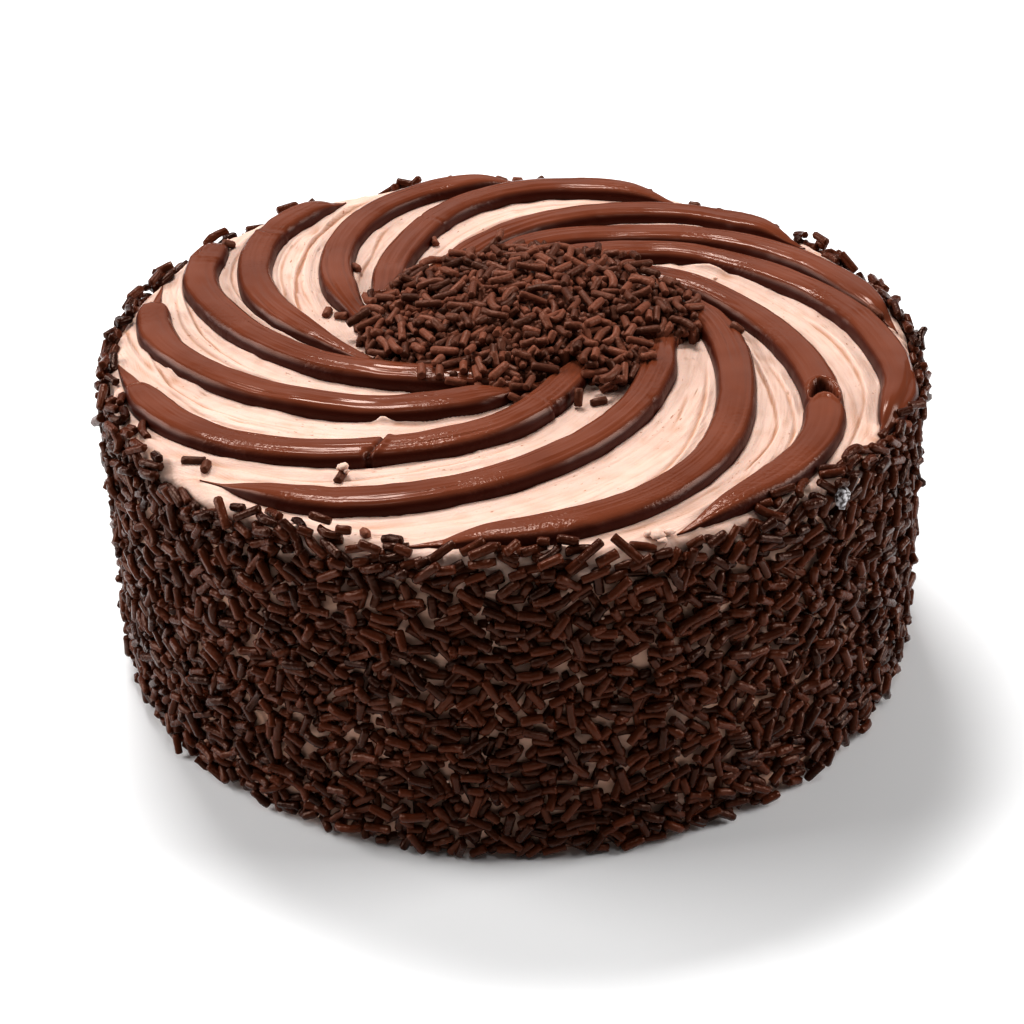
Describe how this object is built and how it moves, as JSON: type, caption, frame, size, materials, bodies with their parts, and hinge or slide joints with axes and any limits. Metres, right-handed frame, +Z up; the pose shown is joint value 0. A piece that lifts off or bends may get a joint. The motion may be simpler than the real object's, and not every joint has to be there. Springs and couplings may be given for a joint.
{
  "type": "mocha layer cake",
  "caption": "Round mocha layer cake with chocolate sprinkles on its side, ganache stripes swept round its top and a heap of sprinkles in the middle.",
  "frame": {"origin": "middle of the flat underside, where the cake rests", "axes": "+Z up, out of the frosted top; -Y towards the front of the picture; +X to the picture's right"},
  "size_m": [0.2126, 0.2121, 0.0951],
  "materials": {
    "mocha_buttercream": "soft satin buttercream",
    "chocolate_ganache": "glossy ganache",
    "chocolate_sprinkles": "satin chocolate sprinkles"
  },
  "bodies": {
    "root": {"cake": "mocha_buttercream", "ganache_stripe_01": "chocolate_ganache", "ganache_stripe_02": "chocolate_ganache", "ganache_stripe_03": "chocolate_ganache", "ganache_stripe_04": "chocolate_ganache", "ganache_stripe_05": "chocolate_ganache", "ganache_stripe_06": "chocolate_ganache", "ganache_stripe_07": "chocolate_ganache", "ganache_stripe_08": "chocolate_ganache", "ganache_stripe_09": "chocolate_ganache", "ganache_stripe_10": "chocolate_ganache", "ganache_stripe_11": "chocolate_ganache", "ganache_stripe_12": "chocolate_ganache", "sprinkle_heap": "chocolate_sprinkles"}
  },
  "joints": []
}
